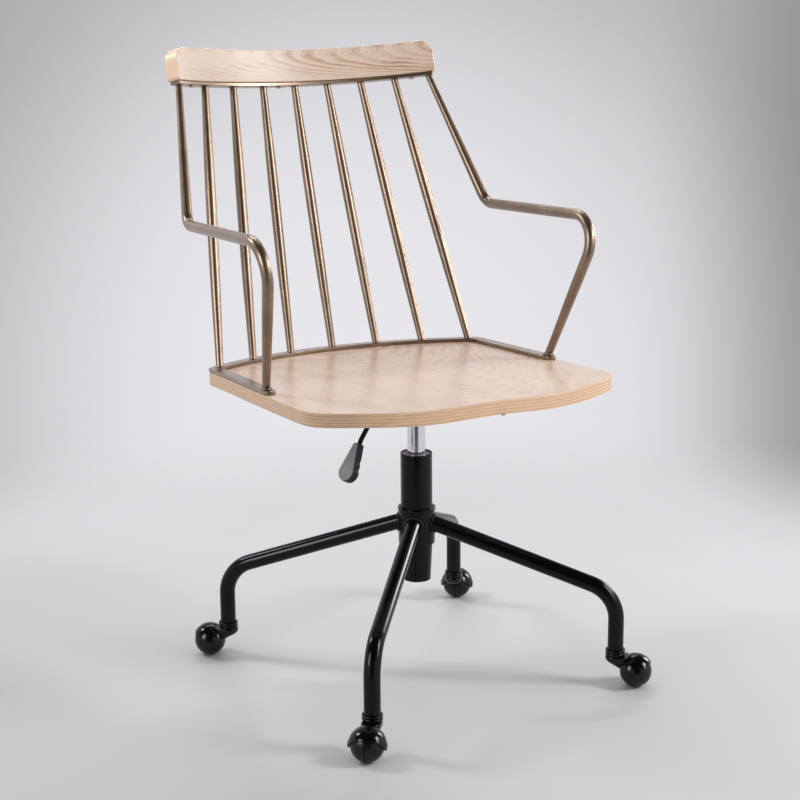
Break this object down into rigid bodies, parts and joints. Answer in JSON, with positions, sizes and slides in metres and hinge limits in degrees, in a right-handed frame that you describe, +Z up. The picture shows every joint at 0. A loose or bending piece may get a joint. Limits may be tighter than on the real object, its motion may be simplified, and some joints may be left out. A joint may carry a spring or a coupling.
{
  "type": "swivel armchair",
  "caption": "Swivel armchair with a raked plywood seat, bronze spindle back, looped tube arms and a gas-lift column on four bent legs with ball castors.",
  "frame": {"origin": "on the floor, under the axis of the column", "axes": "+Z up, the sitter faces -Y, +X to the sitter's left"},
  "size_m": [0.5878, 0.7532, 0.9795],
  "materials": {
    "bronze": "antique bronze metallic, satin",
    "seat_wood": "clear satin lacquer",
    "rail_wood": "clear satin lacquer",
    "enamel": "satin black",
    "castor_shell": "gloss black",
    "castor_ball": "gloss black",
    "chrome": "polished",
    "bush": "light grey, moulded",
    "steel": "dull plated",
    "mechanism": "satin black",
    "grip": "matt black",
    "grip_face": "matt grey"
  },
  "bodies": {
    "base": {"hub": "enamel", "column_tube": "enamel", "guide_bush": "bush", "leg_front": "enamel", "leg_right": "enamel", "leg_back": "enamel", "leg_left": "enamel", "socket_front": "enamel", "socket_right": "enamel", "socket_back": "enamel", "socket_left": "enamel"},
    "lift": {"gas_piston": "chrome"},
    "button": {"release_button": "steel"},
    "seat": {"seat_board": "seat_wood", "edge_screw": "steel", "lower_strap": "bronze", "spindle_left_3": "bronze", "spindle_left_2": "bronze", "spindle_left_1": "bronze", "spindle_middle": "bronze", "spindle_right_1": "bronze", "spindle_right_2": "bronze", "spindle_right_3": "bronze", "arm_left": "bronze", "arm_right": "bronze", "top_strap": "bronze", "crest_rail": "rail_wood", "rail_screw_left": "steel", "rail_screw_middle": "steel", "rail_screw_right": "steel", "seat_mechanism": "mechanism", "lever_pivot": "steel", "mount_bolt_front_left": "steel", "mount_bolt_front_right": "steel", "mount_bolt_back_left": "steel", "mount_bolt_back_right": "steel"},
    "lever": {"lever_rod": "enamel", "lever_handle": "grip", "lever_face_cap": "grip_face"},
    "castor_front": {"castor_hood_front": "castor_shell", "castor_stem_front": "steel", "castor_axle_front": "steel"},
    "ball_front": {"ball_front_a": "castor_ball", "ball_front_b": "castor_ball"},
    "castor_right": {"castor_hood_right": "castor_shell", "castor_stem_right": "steel", "castor_axle_right": "steel"},
    "ball_right": {"ball_right_a": "castor_ball", "ball_right_b": "castor_ball"},
    "castor_back": {"castor_hood_back": "castor_shell", "castor_stem_back": "steel", "castor_axle_back": "steel"},
    "ball_back": {"ball_back_a": "castor_ball", "ball_back_b": "castor_ball"},
    "castor_left": {"castor_hood_left": "castor_shell", "castor_stem_left": "steel", "castor_axle_left": "steel"},
    "ball_left": {"ball_left_a": "castor_ball", "ball_left_b": "castor_ball"}
  },
  "joints": [
    {"name": "gas_lift", "type": "slide", "parent": "base", "child": "lift", "axis": [0, 0, 1], "range_m": [-0.035, 0.065]},
    {"name": "seat_swivel", "type": "hinge", "parent": "lift", "child": "seat", "pos_m": [0, 0, 0.42], "axis": [0, 0, 1], "continuous": true},
    {"name": "lever_pull", "type": "hinge", "parent": "seat", "child": "lever", "pos_m": [-0.02934, -0.00624, 0.44825], "axis": [-0.2079, 0.9781, 0], "range_deg": [0, 7], "stiffness_Nm_per_rad": 6},
    {"name": "button_press", "type": "slide", "parent": "lift", "child": "button", "axis": [0, 0, -1], "range_m": [0, 0.004]},
    {"name": "castor_swivel_front", "type": "hinge", "parent": "base", "child": "castor_front", "pos_m": [-0.20408, -0.24322, 0.055], "axis": [0, 0, 1], "continuous": true},
    {"name": "ball_roll_front", "type": "hinge", "parent": "castor_front", "child": "ball_front", "pos_m": [-0.22491, -0.26804, 0.025], "axis": [0.766, -0.6428, 0], "continuous": true},
    {"name": "castor_swivel_right", "type": "hinge", "parent": "base", "child": "castor_right", "pos_m": [0.24322, -0.20408, 0.055], "axis": [0, 0, 1], "continuous": true},
    {"name": "ball_roll_right", "type": "hinge", "parent": "castor_right", "child": "ball_right", "pos_m": [0.26804, -0.22491, 0.025], "axis": [0.6428, 0.766, 0], "continuous": true},
    {"name": "castor_swivel_back", "type": "hinge", "parent": "base", "child": "castor_back", "pos_m": [0.20408, 0.24322, 0.055], "axis": [0, 0, 1], "continuous": true},
    {"name": "ball_roll_back", "type": "hinge", "parent": "castor_back", "child": "ball_back", "pos_m": [0.22491, 0.26804, 0.025], "axis": [-0.766, 0.6428, 0], "continuous": true},
    {"name": "castor_swivel_left", "type": "hinge", "parent": "base", "child": "castor_left", "pos_m": [-0.24322, 0.20408, 0.055], "axis": [0, 0, 1], "continuous": true},
    {"name": "ball_roll_left", "type": "hinge", "parent": "castor_left", "child": "ball_left", "pos_m": [-0.26804, 0.22491, 0.025], "axis": [-0.6428, -0.766, 0], "continuous": true}
  ],
  "couplings": [
    {"joint": "button_press", "follows": "lever_pull", "m_per_rad": 0.031}
  ]
}
